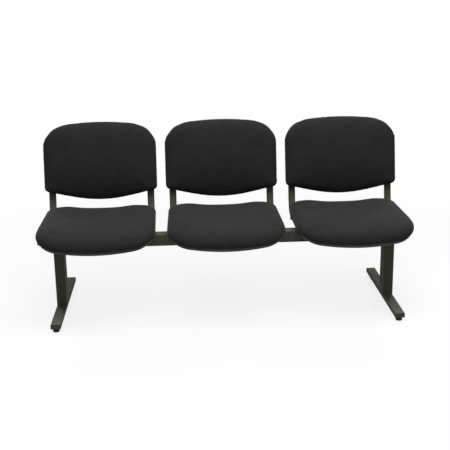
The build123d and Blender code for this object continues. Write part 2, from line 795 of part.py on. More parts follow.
    # Rear shell: a moulded cover round the board and the upper ends of the side tubes
    with BuildPart() as shell_room:
        with BuildSketch(across_plane(centre, back_start)):
            back_band(rear_shell_inner, shell_hollow, back_board_front + board_thickness, back_hollow)
        extrude(amount=back_span + 2 * cushion_sink)
        with BuildSketch(back_plane(centre)):
            back_outline(board_clearance)
        extrude(amount=seat_pitch / 2, both=True, mode=Mode.INTERSECT)
    with BuildPart() as back_shell:
        with BuildSketch(across_plane(centre, back_start)):
            back_band(rear_shell_outer, shell_hollow, back_board_front, back_hollow)
        extrude(amount=back_span + 2 * cushion_sink)
        with BuildSketch(back_plane(centre)):
            back_outline(board_clearance + shell_thickness)
        extrude(amount=seat_pitch / 2, both=True, mode=Mode.INTERSECT)
        fillet(faces().filter_by(lambda face: face.normal_at().Y > 0.7).edges(), radius=shell_edge)
        add(shell_room.part, mode=Mode.SUBTRACT)
        with BuildSketch(across_plane(centre, back_start)):
            with Locations((-tube_offset, 0), (tube_offset, 0)):
                wider = 2 * board_clearance
                SlotOverall(tube_width + wider, tube_height + wider)
        extrude(amount=back_bolt_low - back_start, mode=Mode.SUBTRACT)
        with BuildSketch(back_plane(centre).offset(bolt_face)):
            with Locations(*back_bolt_points):
                Circle(m6_head_radius + hole_clearance)
        extrude(amount=-2 * m6_head, mode=Mode.SUBTRACT)
        with BuildSketch(back_plane(centre).offset(bolt_face)):
            with Locations(*back_bolt_points):
                Circle(m6_radius + hole_clearance)
        extrude(amount=2 * shell_thickness, mode=Mode.SUBTRACT)
    save(back_shell, f"{seat}_back_shell")

    # Back cushion: lofted across, with a full belly, big top corners and a smiling lower edge
    half = back_cushion_width / 2
    with BuildPart() as back_cushion:
        for turn in loft_turns:
            share = sin(radians(turn))
            x = share * half
            face = back_board_front + hollow_at(x, back_hollow)
            front_round = round_off(x, half, back_cushion_roll)
            rear_round = round_off(x, half, cushion_tuck)
            girth = face + back_cushion_girth
            ahead = girth + (back_cushion_lift - back_cushion_girth) * front_round
            behind = girth - (back_cushion_girth + cushion_sink) * rear_round
            belly = ahead + back_cushion_belly * front_round * (1 - share**2)
            low = back_cushion_low + back_smile * share**2 * (3 - share**2) / 2
            low += back_cushion_low_corner * (1 - round_off(x, half, back_cushion_low_corner))
            high = back_cushion_high - back_crown * share**2
            high -= back_cushion_corner_height * (1 - round_off(x, half, back_cushion_corner_width))
            roll = ahead - girth
            tuck = roll - sqrt(roll**2 - (girth - behind) ** 2)
            with BuildSketch(Plane.YZ.offset(centre + x)):
                with BuildLine():
                    ThreePointArc(
                        on_back(low + tuck, behind), on_back(low, girth), on_back(low + roll, ahead)
                    )
                    ThreePointArc(
                        on_back(low + roll, ahead),
                        on_back(low + back_cushion_peak * (high - low), belly),
                        on_back(high - roll, ahead),
                    )
                    ThreePointArc(
                        on_back(high - roll, ahead), on_back(high, girth), on_back(high - tuck, behind)
                    )
                    Line(on_back(high - tuck, behind), on_back(low + tuck, behind))
                make_face()
        loft()
        with BuildSketch(across_plane(centre, back_start)):
            back_band(rear_shell_outer, shell_hollow, back_board_front + pad_clearance, back_hollow)
        extrude(amount=back_span + 2 * cushion_sink, mode=Mode.SUBTRACT)
    save(back_cushion, f"{seat}_back_cushion")
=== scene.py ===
import bpy
import json
import numpy as np
from mathutils import Matrix, Vector


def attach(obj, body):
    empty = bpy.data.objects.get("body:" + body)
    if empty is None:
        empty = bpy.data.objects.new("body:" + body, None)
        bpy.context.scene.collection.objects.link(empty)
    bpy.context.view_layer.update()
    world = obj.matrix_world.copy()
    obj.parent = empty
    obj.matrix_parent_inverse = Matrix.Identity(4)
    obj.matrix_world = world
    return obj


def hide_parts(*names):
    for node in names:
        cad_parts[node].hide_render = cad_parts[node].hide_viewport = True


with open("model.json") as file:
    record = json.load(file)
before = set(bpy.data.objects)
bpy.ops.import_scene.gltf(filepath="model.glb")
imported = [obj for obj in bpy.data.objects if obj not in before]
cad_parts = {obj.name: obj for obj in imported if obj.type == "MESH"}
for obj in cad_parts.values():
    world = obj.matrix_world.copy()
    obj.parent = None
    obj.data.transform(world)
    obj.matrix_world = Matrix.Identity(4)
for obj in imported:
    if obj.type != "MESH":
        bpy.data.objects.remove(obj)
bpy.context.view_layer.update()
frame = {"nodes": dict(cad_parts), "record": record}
nodes = frame["nodes"]
scene = bpy.context.scene
scene.view_settings.view_transform = "Standard"


def makeNode(tree, kind, place, **values):
    # values set sockets by name, or plain settings of the node
    node = tree.nodes.new(kind)
    node.location = place
    for name, value in values.items():
        if name in node.inputs:
            node.inputs[name].default_value = value
        else:
            setattr(node, name, value)
    return node


def mathNode(tree, operation, place, first, second):
    # first and second are numbers, or sockets to link
    node = makeNode(tree, "ShaderNodeMath", place, operation=operation)
    for index, value in enumerate((first, second)):
        if isinstance(value, (int, float)):
            node.inputs[index].default_value = value
        else:
            tree.links.new(value, node.inputs[index])
    return node.outputs[0]


def mapRange(tree, place, value, old, new=(0.0, 1.0)):
    # brings a value from the old (low, high) pair to the new one, held at both ends
    node = makeNode(tree, "ShaderNodeMapRange", place)
    for label, number in zip(("From Min", "From Max", "To Min", "To Max"), (*old, *new)):
        node.inputs[label].default_value = number
    tree.links.new(value, node.inputs["Value"])
    return node.outputs["Result"]


def newGroup(name, sizes, outputs):
    # sizes are the inputs with their defaults, and every socket carries a plain number
    group = bpy.data.node_groups.new(name, "ShaderNodeTree")
    for label, value in sizes.items():
        socket = group.interface.new_socket(label, in_out="INPUT", socket_type="NodeSocketFloat")
        socket.default_value = value
    for label in outputs:
        group.interface.new_socket(label, in_out="OUTPUT", socket_type="NodeSocketFloat")
    return group, group.nodes.new("NodeGroupInput"), group.nodes.new("NodeGroupOutput")


def buildCrepeGroup():
    # crepe cloth: yarn nubs from a fine cell pattern, uneven yarn at the same scale, and slow shade drift
    group, gin, gout = newGroup(
        "crepeCloth", {"Nub Size": 0.0016, "Drift Size": 0.05}, ("Height", "Fleck", "Drift")
    )
    coord = makeNode(group, "ShaderNodeTexCoord", (-900, 0))
    nubScale = mathNode(group, "DIVIDE", (-700, 200), 1.0, gin.outputs["Nub Size"])
    driftScale = mathNode(group, "DIVIDE", (-700, -200), 1.0, gin.outputs["Drift Size"])
    cells = makeNode(group, "ShaderNodeTexVoronoi", (-450, 250), feature="F1", Randomness=0.75)
    yarn = makeNode(group, "ShaderNodeTexNoise", (-450, 0), Detail=2.0, Roughness=0.6)
    slow = makeNode(group, "ShaderNodeTexNoise", (-450, -250), Detail=3.0, Roughness=0.55)
    for node, scale in ((cells, nubScale), (yarn, nubScale), (slow, driftScale)):
        group.links.new(coord.outputs["Object"], node.inputs["Vector"])
        group.links.new(scale, node.inputs["Scale"])
    yarnShare = 0.45  # the yarn's unevenness stands lower than its nubs
    nub = mathNode(group, "SUBTRACT", (-200, 250), 1.0, cells.outputs["Distance"])
    rough = mathNode(group, "MULTIPLY", (-200, 60), yarn.outputs["Fac"], yarnShare)
    height = mathNode(group, "ADD", (0, 200), nub, rough)
    fleck = mathNode(group, "MULTIPLY", (0, 0), nub, yarn.outputs["Fac"])
    group.links.new(height, gout.inputs["Height"])
    group.links.new(fleck, gout.inputs["Fleck"])
    group.links.new(slow.outputs["Fac"], gout.inputs["Drift"])
    return group


def buildGrainGroup():
    # moulded, sprayed or plated skin: a fine grain, slow patches of handling, and scuffs at the peaks of a third noise
    group, gin, gout = newGroup(
        "fineGrain", {"Grain Size": 0.0009, "Patch Size": 0.08}, ("Height", "Patch", "Scuff")
    )
    coord = makeNode(group, "ShaderNodeTexCoord", (-900, 0))
    grainScale = mathNode(group, "DIVIDE", (-700, 200), 1.0, gin.outputs["Grain Size"])
    patchScale = mathNode(group, "DIVIDE", (-700, -200), 1.0, gin.outputs["Patch Size"])
    grain = makeNode(group, "ShaderNodeTexVoronoi", (-450, 200), feature="SMOOTH_F1", Smoothness=0.6)
    patch = makeNode(group, "ShaderNodeTexNoise", (-450, -50), Detail=4.0, Roughness=0.6)
    streak = makeNode(group, "ShaderNodeTexNoise", (-450, -300), Detail=6.0, Roughness=0.7, Scale=55.0)
    for node in (grain, patch, streak):
        group.links.new(coord.outputs["Object"], node.inputs["Vector"])
    group.links.new(grainScale, grain.inputs["Scale"])
    group.links.new(patchScale, patch.inputs["Scale"])
    scuffPeaks = (0.62, 0.78)
    group.links.new(grain.outputs["Distance"], gout.inputs["Height"])
    group.links.new(patch.outputs["Fac"], gout.inputs["Patch"])
    group.links.new(mapRange(group, (-200, -300), streak.outputs["Fac"], scuffPeaks), gout.inputs["Scuff"])
    return group


crepeGroup = buildCrepeGroup()
grainGroup = buildGrainGroup()
noiseSpan = (0.3, 0.7)  # where most of a noise's values lie
noiseReach = (0.25, 0.75)  # where nearly all of them lie


def newMaterial(name, color, shader):
    # shader sets the Principled BSDF's own sockets
    material = bpy.data.materials.new(name)
    material.use_nodes = True
    tree = material.node_tree
    principled = tree.nodes["Principled BSDF"]
    principled.inputs["Base Color"].default_value = (*color, 1.0)
    for label, value in shader.items():
        principled.inputs[label].default_value = value
    material.diffuse_color = (*color, 1.0)
    return material, tree, principled


def placeGroup(tree, group, sizes):
    node = makeNode(tree, "ShaderNodeGroup", (-900, 0), node_tree=group)
    for label, value in sizes.items():
        node.inputs[label].default_value = value
    return node


def addColor(tree, principled, factor, look):
    # the factor runs the base colour from the look's dark to its light
    mix = makeNode(tree, "ShaderNodeMix", (-330, 80), data_type="RGBA")
    colorIn = [socket for socket in mix.inputs if socket.type == "RGBA"]
    for socket, color in zip(colorIn, (look["dark"], look["light"])):
        socket.default_value = (*color, 1.0)
    tree.links.new(factor, mix.inputs["Factor"])
    colorOut = [socket for socket in mix.outputs if socket.type == "RGBA"][0]
    tree.links.new(colorOut, principled.inputs["Base Color"])


def addBump(tree, principled, height, look):
    bump = makeNode(tree, "ShaderNodeBump", (-250, -350), Strength=look["bump"], Distance=look["depth"])
    tree.links.new(height, bump.inputs["Height"])
    tree.links.new(bump.outputs["Normal"], principled.inputs["Normal"])


fabricLook = {
    "dark": (0.0265, 0.0277, 0.0259), "light": (0.0455, 0.0473, 0.0443), "rough": 0.95, "gloss": 0.06,
    "sheen": 0.17, "sheenRough": 0.35, "sheenTint": (0.75, 0.78, 0.74, 1.0), "nub": 0.0017, "drift": 0.045,
    "fleckSpan": (0.15, 0.55), "fleckShare": 0.75, "driftShare": 0.30, "bump": 0.55, "depth": 0.0004,
}


def buildFabric(look):
    # flecks of yarn and the slow drift add up to the shade
    material, tree, principled = newMaterial("charcoalCrepe", look["light"], {
        "Roughness": look["rough"], "Specular IOR Level": look["gloss"], "Sheen Weight": look["sheen"],
        "Sheen Roughness": look["sheenRough"], "Sheen Tint": look["sheenTint"],
    })
    weave = placeGroup(tree, crepeGroup, {"Nub Size": look["nub"], "Drift Size": look["drift"]})
    fleck = mapRange(tree, (-700, 150), weave.outputs["Fleck"], look["fleckSpan"], (0.0, look["fleckShare"]))
    drift = mapRange(tree, (-700, -50), weave.outputs["Drift"], noiseSpan, (0.0, look["driftShare"]))
    addColor(tree, principled, mathNode(tree, "ADD", (-520, 80), fleck, drift), look)
    addBump(tree, principled, weave.outputs["Height"], look)
    return material


paintLook = {
    "dark": (0.104, 0.116, 0.085), "light": (0.134, 0.150, 0.112), "rough": (0.62, 0.78), "gloss": 0.06, "metal": 0.0,
    "grain": 0.0008, "patch": 0.11, "patchShare": 1.0, "scuffShare": 0.0, "bump": 0.12, "depth": 0.0002,
}
steelLook = {
    "dark": (0.36, 0.36, 0.34), "light": (0.58, 0.58, 0.55), "rough": (0.28, 0.45), "gloss": 0.5, "metal": 1.0,
    "grain": 0.0005, "patch": 0.006, "patchShare": 1.0, "scuffShare": 0.0, "bump": 0.05, "depth": 0.0001,
}
plasticLook = {"metal": 0.0, "patch": 0.07, "patchShare": 0.8, "scuffShare": 0.5}  # what all the plastics share
shellLook = {
    **plasticLook, "dark": (0.055, 0.055, 0.053), "light": (0.075, 0.075, 0.072), "rough": (0.50, 0.62),
    "gloss": 0.4, "grain": 0.0011, "bump": 0.3, "depth": 0.0003,
}
capLook = {
    **plasticLook, "dark": (0.012, 0.012, 0.011), "light": (0.024, 0.024, 0.022), "rough": (0.42, 0.55),
    "gloss": 0.4, "grain": 0.0008, "bump": 0.2, "depth": 0.0002,
}
footCapLook = {
    **plasticLook, "dark": (0.060, 0.066, 0.050), "light": (0.086, 0.094, 0.072), "rough": (0.5, 0.65),
    "gloss": 0.2, "grain": 0.0008, "bump": 0.2, "depth": 0.0002,
}
glideLook = {
    **plasticLook, "dark": (0.008, 0.008, 0.008), "light": (0.018, 0.018, 0.017), "rough": (0.45, 0.62),
    "gloss": 0.4, "grain": 0.0007, "bump": 0.2, "depth": 0.0002,
}


def buildSkin(name, look):
    # paint, plating or plastic: patches set colour and roughness, and scuffs add to the colour where there are any
    material, tree, principled = newMaterial(
        name, look["light"], {"Specular IOR Level": look["gloss"], "Metallic": look["metal"]}
    )
    skin = placeGroup(tree, grainGroup, {"Grain Size": look["grain"], "Patch Size": look["patch"]})
    shade = mapRange(tree, (-700, 100), skin.outputs["Patch"], noiseSpan, (0.0, look["patchShare"]))
    if look["scuffShare"] > 0:
        worn = mathNode(tree, "MULTIPLY", (-700, -150), skin.outputs["Scuff"], look["scuffShare"])
        shade = mathNode(tree, "ADD", (-520, 80), shade, worn)
    addColor(tree, principled, shade, look)
    rough = mapRange(tree, (-330, -120), skin.outputs["Patch"], noiseReach, look["rough"])
    tree.links.new(rough, principled.inputs["Roughness"])
    addBump(tree, principled, skin.outputs["Height"], look)
    return material


plyLook = {
    "dark": (0.30, 0.19, 0.10), "light": (0.52, 0.37, 0.21), "rough": 0.7, "stretch": (4.0, 30.0, 30.0), "rings": 3.8,
    "bump": 0.15, "depth": 0.0003,
}


def buildPly(look):
    # noise drawn out across the bench, as the grain of a face veneer
    material, tree, principled = newMaterial("rawPlywood", look["light"], {"Roughness": look["rough"]})
    coord = makeNode(tree, "ShaderNodeTexCoord", (-1100, 0))
    stretch = makeNode(tree, "ShaderNodeMapping", (-900, 0), Scale=look["stretch"])
    rings = makeNode(tree, "ShaderNodeTexNoise", (-700, 0), Scale=look["rings"], Detail=8.0, Roughness=0.65)
    tree.links.new(coord.outputs["Object"], stretch.inputs["Vector"])
    tree.links.new(stretch.outputs["Vector"], rings.inputs["Vector"])
    addColor(tree, principled, rings.outputs["Fac"], look)
    addBump(tree, principled, rings.outputs["Fac"], look)
    return material


hands = {"left": -1, "right": 1}  # as seen from the front
finishes = {
    "seat_fabric": buildFabric(fabricLook),
    "shell_plastic": buildSkin("grainedShell", shellLook),
    "plywood": buildPly(plyLook),
    "frame_paint": buildSkin("darkGreyPowderCoat", paintLook),
    "cap_plastic": buildSkin("mouldedCap", capLook),
    "glide_plastic": buildSkin("mouldedGlide", glideLook),
    "zinc_steel": buildSkin("zincSteel", steelLook),
}
for row in frame["record"]["subparts"]:
    piece = nodes[row["node"]]
    piece.data.materials.clear()
    piece.data.materials.append(finishes[row["material_slot"]])
greyCap = buildSkin("greyFootCap", footCapLook)
for leg in hands:
    nodes[f"{leg}_foot_end_caps"].data.materials[0] = greyCap
print("finishes set:", len(finishes) + 1)


def addToScene(name, data):
    thing = bpy.data.objects.new(name, data)
    scene.collection.objects.link(thing)
    return thing


def readRows(items, label):
    flat = np.empty(len(items) * 3)
    items.foreach_get(label, flat)
    return flat.reshape(-1, 3)


def readPoints(mesh):
    return readRows(mesh.vertices, "co")


def writePoints(mesh, points):
    mesh.vertices.foreach_set("co", np.ascontiguousarray(points, float).ravel())
    mesh.update()


def faceOutwards(mesh):
    # the sum of the signed volumes under the triangles is positive when the faces point outwards
    mesh.calc_loop_triangles()
    corners = np.empty(len(mesh.loop_triangles) * 3, np.int32)
    mesh.loop_triangles.foreach_get("vertices", corners)
    a, b, c = (readPoints(mesh)[corners.reshape(-1, 3)[:, k]] for k in range(3))
    if np.einsum("ij,ij->i", a, np.cross(b, c)).sum() < 0:
        mesh.flip_normals()


def gridMesh(name, grids):
    # like grids, each rows of points round a closed loop, joined as quads; both ends close on a middle point
    count, rows, cols = grids.shape[:3]
    ring, each = np.arange(cols), rows * cols + 2
    r, c = np.meshgrid(np.arange(rows - 1), ring, indexing="ij")
    near, beside = (r * cols + c).ravel(), (r * cols + (c + 1) % cols).ravel()
    quads = np.stack([near, beside, beside + cols, near + cols], 1)
    after, lastRow = np.roll(ring, -1), each - 2 - cols
    first = np.stack([after, ring, np.full(cols, each - 2)], 1)
    last = np.stack([ring + lastRow, after + lastRow, np.full(cols, each - 1)], 1)
    ends = np.stack([grids[:, 0].mean(1), grids[:, -1].mean(1)], 1)
    points = np.concatenate([grids.reshape(count, -1, 3), ends], 1).reshape(-1, 3)
    faces = []
    for start in np.arange(count) * each:
        faces += (quads + start).tolist() + (first + start).tolist() + (last + start).tolist()
    mesh = bpy.data.meshes.new(name)
    mesh.from_pydata(points.tolist(), [], faces)
    mesh.update()
    faceOutwards(mesh)
    return mesh


def placeObject(name, mesh, body, slotName, smooth=True):
    piece = addToScene(name, mesh)
    mesh.materials.append(finishes[slotName])
    if smooth:
        mesh.polygons.foreach_set("use_smooth", np.ones(len(mesh.polygons), bool))
    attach(piece, body)
    return piece


waveHeights = (0.4, 1.0)  # lowest and highest that a wave is drawn


def smoothNoise(phase, turns, seed):
    # a few sine waves with seeded phases and heights, added and brought to about -1 to 1
    draw = np.random.default_rng(seed)
    waves = draw.uniform(*waveHeights, len(turns))[:, None] * np.sin(
        np.array(turns)[:, None] * phase[None, :] + draw.uniform(0, 2 * np.pi, len(turns))[:, None]
    )
    return waves.sum(0) / np.sqrt(len(turns))


benchPlan = {
    "seats": {"left": -0.520, "middle": 0.0, "right": 0.520}, "beamY": -0.0298, "uprightY": 0.1902, "tubeZ": 0.3345,
}
seatLine = {"fallY": -0.0928, "boardTop": 0.3665, "fallReach": 0.178, "fallDrop": 0.044}
backLean = np.radians(11.0)
fallRadius = (seatLine["fallReach"] ** 2 + seatLine["fallDrop"] ** 2) / (2 * seatLine["fallDrop"])


def boardTop(y):
    # the seat board is flat at the rear, and falls round an arc to its front
    ahead = np.clip(seatLine["fallY"] - y, 0.0, fallRadius)
    return seatLine["boardTop"] - fallRadius + np.sqrt(fallRadius**2 - ahead**2)


def onBack(x, rise, ahead):
    # up along the leaning uprights, and out in front of them
    y = benchPlan["uprightY"] + rise * np.sin(backLean) - ahead * np.cos(backLean)
    z = benchPlan["tubeZ"] + rise * np.cos(backLean) + ahead * np.sin(backLean)
    return np.stack([x, y, z], -1)


def offBack(points):
    # the other way: points in the bench's frame to rise and ahead
    dy, dz = points[:, 1] - benchPlan["uprightY"], points[:, 2] - benchPlan["tubeZ"]
    return dy * np.sin(backLean) + dz * np.cos(backLean), dz * np.sin(backLean) - dy * np.cos(backLean)


padSteps = {"outline": 121, "loop": 240, "middle": 9, "innermost": 0.05, "side": 7, "roll": 14}
acrossShare = np.sin(np.radians(np.linspace(-90, 90, padSteps["outline"])))  # -1 to 1, closer together at the sides


def cornerCut(x, edge, wide, tall):
    # what a quarter-round corner takes off an outline: nothing on the flat, its full height at the edge
    share = np.clip((np.abs(x) - (edge - wide)) / wide, 0.0, 1.0)
    return tall * (1 - np.sqrt(1.0 - share**2))


def closeOutline(x, first, second):
    # out along one edge and back along the other
    return np.vstack([np.stack([x, first], 1), np.stack([x, second], 1)[::-1]])


def evenLoop(points, count):
    # a closed loop resampled at even steps of its own length
    loop = np.vstack([points, points[:1]])
    along = np.concatenate([[0.0], np.cumsum(np.hypot(*np.diff(loop, axis=0).T))])
    want = np.linspace(0.0, along[-1], count, endpoint=False)
    return np.stack([np.interp(want, along, loop[:, k]) for k in (0, 1)], 1)


def padRings(loop, look):
    # rings from the middle of the underside, out, up the side, over the roll, and in across the top: each ring is the
    # outline shrunk towards the middle until it lies a given distance in from the edge, at a share of the thickness;
    # side and roll are quarter ellipses, both change evenly from the low end of the pad to its high end, and the lower
    # edge droops as a lip outside the board
    middle = loop.mean(0)
    along = np.roll(loop, -1, 0) - np.roll(loop, 1, 0)
    outward = np.stack([along[:, 1], -along[:, 0]], 1) / np.hypot(*along.T)[:, None]
    depth = ((loop - middle) * outward).sum(1)
    facing = 0.5 + 0.5 * outward[:, 1] * np.sign(depth.sum())  # 0 at the low end, 1 at the high end
    roll, wall, lap = (
        look[f"{name}Low"] + (look[f"{name}High"] - look[f"{name}Low"]) * facing for name in ("roll", "wall", "lap")
    )
    side = np.linspace(0, np.pi / 2, padSteps["side"])[:, None]
    over = np.linspace(0, np.pi / 2, padSteps["roll"])[1:, None]
    inset = np.concatenate([look["tuck"] * (1 - np.sin(side)) + 0 * roll, roll * (1 - np.cos(over))])
    height = np.concatenate([wall * (1 - np.cos(side)), wall + (1 - wall) * np.sin(over)])
    droop = np.concatenate([np.sin(2 * side) * lap, 0 * over * lap])
    share = 1.0 - inset / np.abs(depth)
    steps = np.linspace(padSteps["innermost"], 1.0, padSteps["middle"], endpoint=False)[:, None]
    share = np.concatenate([steps * share[:1], share, steps[::-1] * share[-1:]])
    none = 0 * steps + 0 * roll
    height, droop = np.concatenate([none, height, none + 1]), np.concatenate([none, droop, none])
    return middle + (loop - middle)[None] * share[..., None], height, droop


def makeDense(name, mesh, voxel):
    # even small quads all over, from a scratch object that is thrown away
    scratch = addToScene(name, mesh)
    bpy.context.view_layer.objects.active = scratch
    scratch.select_set(True)
    mesh.remesh_voxel_size = voxel
    bpy.ops.object.voxel_remesh()
    bpy.data.objects.remove(scratch)
    faceOutwards(mesh)
    return mesh


def evenOut(mesh, moves, rounds):
    # each point's move is blended with the mean move of the points beside it
    ends = np.empty(len(mesh.edges) * 2, np.int32)
    mesh.edges.foreach_get("vertices", ends)
    pairs = np.concatenate([ends.reshape(-1, 2), ends.reshape(-1, 2)[:, ::-1]])
    beside = np.bincount(pairs[:, 0], minlength=len(moves))[:, None]
    for _ in range(rounds):
        total = [np.bincount(pairs[:, 0], moves[pairs[:, 1], axis], len(moves)) for axis in range(3)]
        moves = 0.5 * moves + 0.5 * np.stack(total, 1) / beside
    return moves


coverCloth = {"quality": 5, "mass": 0.25, "shearShare": 0.5, "bend": 0.4}


def plump(name, mesh, held, look):
    # the cover is cloth with air behind it: held points stay put, the rest swell until the cap, and firm foam behind
    # evens out the small folds
    scratch = addToScene(name, mesh)
    pins = scratch.vertex_groups.new(name="held")
    tenths = np.round(held, 1)
    for weight in np.unique(tenths):
        if weight > 0:
            pins.add(np.flatnonzero(tenths == weight).tolist(), float(weight), "REPLACE")
    cloth = scratch.modifiers.new("cover", "CLOTH")
    settings = cloth.settings
    settings.quality = coverCloth["quality"]
    settings.mass = coverCloth["mass"]
    settings.tension_stiffness = settings.compression_stiffness = look["stiffness"]
    settings.shear_stiffness = look["stiffness"] * coverCloth["shearShare"]
    settings.bending_stiffness = coverCloth["bend"]
    settings.use_pressure = True
    settings.uniform_pressure_force = look["pressure"]
    settings.effector_weights.gravity = 0.0
    settings.vertex_group_mass = "held"
    cloth.point_cache.frame_start = 1
    cloth.point_cache.frame_end = look["frames"]
    start = readPoints(mesh)
    for step in range(1, look["frames"] + 1):
        scene.frame_set(step)
    grown = scratch.evaluated_get(bpy.context.evaluated_depsgraph_get()).to_mesh()
    moved = readPoints(grown) - start
    far = np.linalg.norm(moved, axis=1, keepdims=True)
    moved *= look["cap"] * np.tanh(far / look["cap"]) / np.maximum(far, 1e-9)
    moved = evenOut(mesh, moved, look["even"]) * (1 - held[:, None])
    bpy.data.objects.remove(scratch)
    scene.frame_set(1)
    writePoints(mesh, start + moved)
    spans = np.percentile(far, (5, 25, 50, 75, 95, 100)) * 1000
    print(name, "cover settled, moves in mm:", spans.round(1).tolist())


gathers = {"fine": (23, 37, 41, 53, 61, 67), "broad": (3, 5, 7, 11), "even": 0.6, "uneven": 0.4}  # waves in a round


def pucker(mesh, middle, flatPoints, lift, look, seed):
    # gathers where the cover turns under: short waves round the edge, fading with the distance from their own height,
    # and stronger and weaker in turn by long waves
    around = np.arctan2(flatPoints[:, 1] - middle[1], flatPoints[:, 0] - middle[0])
    fine = smoothNoise(around, gathers["fine"], seed)
    broad = smoothNoise(around, gathers["broad"], seed + 1)
    fade = np.exp(-(((lift - look["puckerLift"]) / look["puckerSpan"]) ** 2))
    push = look["pucker"] * fade * fine * (gathers["even"] + gathers["uneven"] * broad)
    writePoints(mesh, readPoints(mesh) + readRows(mesh.vertex_normals, "vector") * push[:, None])


seatPad = {
    "half": 0.2365, "front": 0.250, "rear": 0.212, "crown": 0.032, "frontCorner": 0.090, "rearCorner": 0.050,
    "flare": 0.06, "lift": 0.0250, "fall": 0.0245, "fallReach": 0.187, "dish": 0.003, "dishLevel": 0.4,
    "hump": 0.006, "humpAt": 0.62, "humpWide": 0.24, "humpAhead": 0.02, "humpRun": 0.17,
    "clear": 0.0006, "tuck": 0.0065, "lapLow": 0.0006, "lapHigh": 0.012,
    "rollLow": 0.038, "rollHigh": 0.024, "wallLow": 0.38, "wallHigh": 0.36,
    "voxel": 0.005, "pressure": 4.0, "stiffness": 12.0, "cap": 0.004, "frames": 20, "even": 16,
    "holdTop": 0.008, "holdFade": 0.006, "pucker": 0.0007, "puckerLift": 0.006, "puckerSpan": 0.009, "seed": 11,
}


def buildSeatPad(look):
    # plan outline: crowned front with round corners, sides that open a little to the front, straight rear with smaller
    # corners; the top is level at the rear, falls as a square towards the nose, is dished across, and stands a
    # little fuller on each side of the rear
    half = look["half"]
    x = acrossShare * half
    front = look["front"] - look["crown"] * acrossShare**2
    front -= cornerCut(x, half, look["frontCorner"], look["frontCorner"])
    rear = look["rear"] - cornerCut(x, half, look["rearCorner"], look["rearCorner"])
    plan = closeOutline(x, -front, rear)
    plan[:, 0] *= 1 - look["flare"] * plan[:, 1]
    loop = evenLoop(plan + [0.0, benchPlan["beamY"]], padSteps["loop"])
    flat, height, droop = padRings(loop, look)
    x, y = flat[..., 0], flat[..., 1]
    low = boardTop(y) + look["clear"]
    ahead = np.clip(seatLine["fallY"] - y, 0, 1) / look["fallReach"]
    top = seatLine["boardTop"] + look["lift"] - look["fall"] * ahead**2
    behind = np.clip((y - benchPlan["beamY"] + look["humpAhead"]) / look["humpRun"], 0, 1)
    beside = np.exp(-(((np.abs(x) / half - look["humpAt"]) / look["humpWide"]) ** 2))
    fuller = beside * behind**2 * (3 - 2 * behind)
    top = top + look["dish"] * ((x / half) ** 2 - look["dishLevel"]) + look["hump"] * fuller
    mesh = gridMesh("seatPad", np.stack([x, y, low + (top - low) * height - droop], -1)[None])
    return makeDense("seatPadDense", mesh, look["voxel"]), loop.mean(0)


backPad = {
    "half": 0.242, "low": 0.082, "high": 0.416, "smile": 0.039, "crown": 0.025, "lowCorner": 0.018,
    "cornerWide": 0.108, "cornerTall": 0.080, "hollow": 0.014, "clear": 0.0006, "lift": 0.0120,
    "belly": 0.031, "peak": 0.56, "reachLow": 0.58, "reachHigh": 0.85, "tuck": 0.004, "lapLow": 0.003, "lapHigh": 0.003,
    "rollLow": 0.024, "rollHigh": 0.042, "wallLow": 0.24, "wallHigh": 0.16,
    "voxel": 0.005, "pressure": 4.0, "stiffness": 12.0, "cap": 0.003, "frames": 20, "even": 24,
    "holdTop": 0.008, "holdFade": 0.006, "pucker": 0.0006, "puckerLift": 0.006, "puckerSpan": 0.009, "seed": 31,
}
backBoard = {"tubeX": np.array([0.197]), "tubeHalf": 0.0075, "gap": 0.0003, "thick": 0.010}


def hollowFace(x, start):
    # an arc across the back: it lies at start in the middle, and further ahead by the hollow at the pad's sides
    deep, half = backPad["hollow"], backPad["half"]
    radius = (half**2 + deep**2) / (2 * deep)
    limit = half * 1.05  # the arc ends a little past the pad
    return start + radius - np.sqrt(radius**2 - np.clip(np.abs(x), 0, limit) ** 2)


# the board's face in the middle: half a tube, a gap and the board, less what the arc gains out at the tube
boardFace = backBoard["tubeHalf"] + backBoard["gap"] + backBoard["thick"] - hollowFace(backBoard["tubeX"], 0.0)[0]


def backFace(x):
    # how far in front of the uprights the board's curved face lies
    return hollowFace(x, boardFace)


def buildBackPad(look):
    # outline: crowned top with big corners, smiling bottom with small corners, straight sides; thickest a little above
    # the middle, and thinner by the square of the distance from there, faster towards the lower edge
    half = look["half"]
    x = acrossShare * half
    smile = look["smile"] * acrossShare**2 * (3 - acrossShare**2) / 2
    low = look["low"] + smile + cornerCut(x, half, look["lowCorner"], look["lowCorner"])
    high = look["high"] - look["crown"] * acrossShare**2 - cornerCut(x, half, look["cornerWide"], look["cornerTall"])
    loop = evenLoop(closeOutline(x, low, high), padSteps["loop"])
    flat, height, droop = padRings(loop, look)
    x, rise = flat[..., 0], flat[..., 1]
    tall = (rise - look["low"]) / (look["high"] - look["low"]) - look["peak"]
    thin = (tall / np.where(tall < 0, look["reachLow"], look["reachHigh"])) ** 2
    bulge = look["belly"] * np.clip(1 - thin, 0, 1) * np.clip(1 - (x / half) ** 4, 0, 1)
    ahead = backFace(x) + look["clear"] + (look["lift"] + bulge) * height - droop
    mesh = gridMesh("backPad", onBack(x, rise, ahead)[None])
    return makeDense("backPadDense", mesh, look["voxel"]), loop.mean(0)


def seatFlat(points):
    # a seat cover's points in plan, and their height over the board
    return points[:, :2], points[:, 2] - boardTop(points[:, 1])


def backFlat(points):
    # a back cover's points on the board, and their distance in front of it
    rise, ahead = offBack(points)
    return np.stack([points[:, 0], rise], 1), ahead - backFace(points[:, 0])


